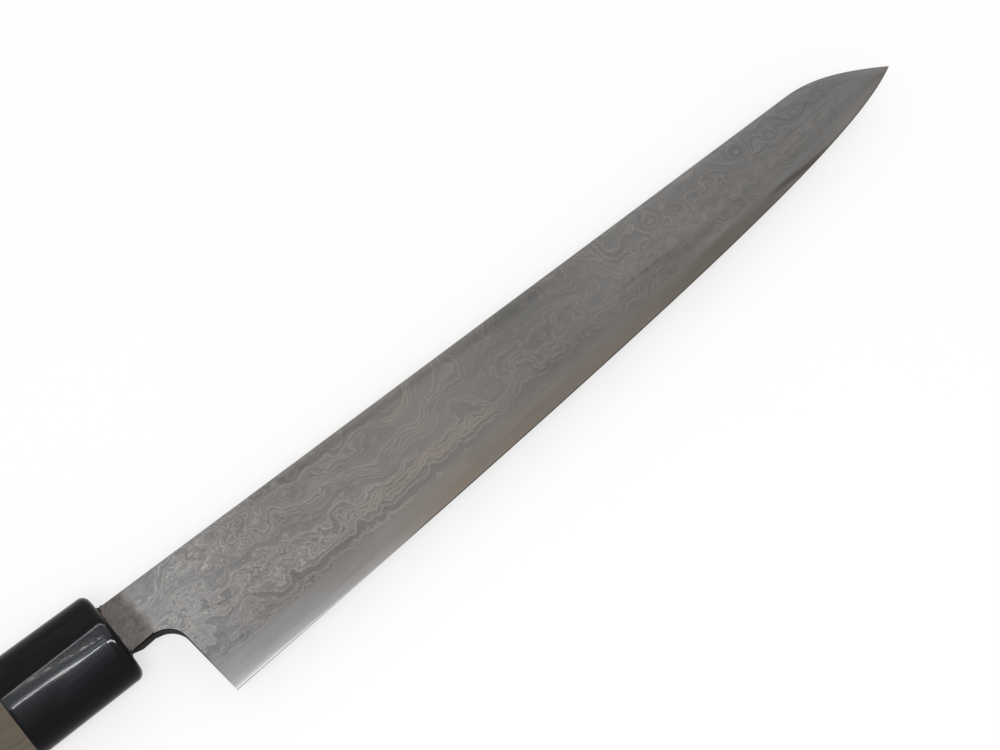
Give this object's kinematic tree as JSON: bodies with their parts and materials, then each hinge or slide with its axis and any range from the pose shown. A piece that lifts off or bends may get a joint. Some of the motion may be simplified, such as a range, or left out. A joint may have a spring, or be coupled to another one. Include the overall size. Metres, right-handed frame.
{
  "type": "sujihiki knife",
  "caption": "Long slicing knife with a slim layered damascus blade, open choil, dark horn ferrule and D-shaped wooden handle, lying on its left side.",
  "frame": {"origin": "on the flat butt of the handle, on the line of the tang and in the blade's middle plane", "axes": "+X from the butt along the handle to the point; +Y towards the spine, so the cutting edge is at -Y; +Z out of the blade's right face, so the knife lies on its left side"},
  "size_m": [0.3942, 0.0432, 0.0215],
  "materials": {
    "core_steel": "hardened steel, ground lengthwise, with a bright honed edge",
    "damascus": "satin folded steel, lightly etched so that its layers show as fine wavy lines",
    "plain_iron": "dull plain steel with fine cross scratches",
    "horn": "polished dark buffalo horn",
    "resin": "dark crumbly resin",
    "pin_wood": "plain unfinished wood",
    "ho_wood": "matte fine-grained magnolia wood, greyed by use"
  },
  "bodies": {
    "root": {"core_steel": "core_steel", "cladding_right": "damascus", "cladding_left": "damascus", "tang": "plain_iron", "ferrule": "horn", "neck_seal": "resin", "dowel": "pin_wood", "grip": "ho_wood"}
  },
  "joints": []
}
